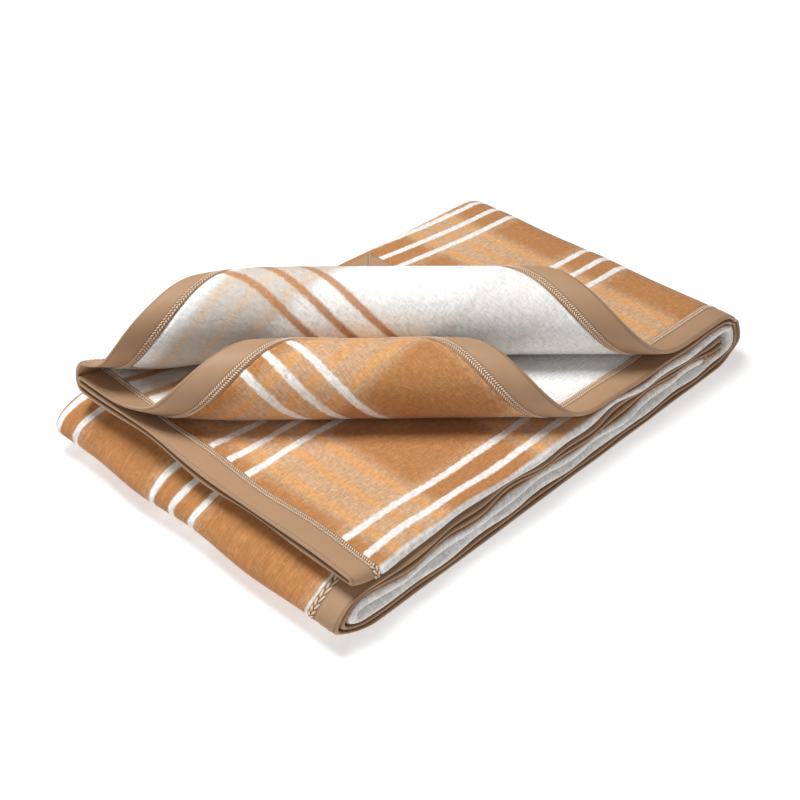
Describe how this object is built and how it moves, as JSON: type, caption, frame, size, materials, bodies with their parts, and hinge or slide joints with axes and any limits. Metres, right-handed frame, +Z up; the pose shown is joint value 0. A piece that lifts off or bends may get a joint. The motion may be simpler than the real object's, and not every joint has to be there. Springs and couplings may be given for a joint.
{
  "type": "camp blanket",
  "caption": "Plush double-faced camp blanket folded into a thick rectangular pack, two corners rolled back, edges bound with smooth tape and zigzag seams.",
  "frame": {"origin": "centre of the footprint of the folded pack, on the plane it rests on", "axes": "+X along the long side of the pack towards the turned end, +Y along the short side towards the closed side fold, +Z up"},
  "size_m": [0.686, 0.4542, 0.184],
  "materials": {
    "plush_cloth": "raised brushed pile, camel brown checked with white on one face and white checked with brown on the other",
    "binding_tape": "smooth tan satin-weave tape",
    "seam_thread": "twisted sewing thread, slightly darker than the tape"
  },
  "bodies": {
    "root": {"blanket_cloth": "plush_cloth", "binding_long_near": "binding_tape", "binding_long_far": "binding_tape", "binding_short_outer": "binding_tape", "binding_short_inner": "binding_tape", "seam_brown_long_near": "seam_thread", "seam_white_long_near": "seam_thread", "seam_brown_long_far": "seam_thread", "seam_white_long_far": "seam_thread", "seam_brown_short_outer": "seam_thread", "seam_white_short_outer": "seam_thread", "seam_brown_short_inner": "seam_thread", "seam_white_short_inner": "seam_thread", "mitre_seam_a_top": "seam_thread", "mitre_seam_b_top": "seam_thread", "mitre_seam_a_inner": "seam_thread", "mitre_seam_b_inner": "seam_thread"}
  },
  "joints": []
}
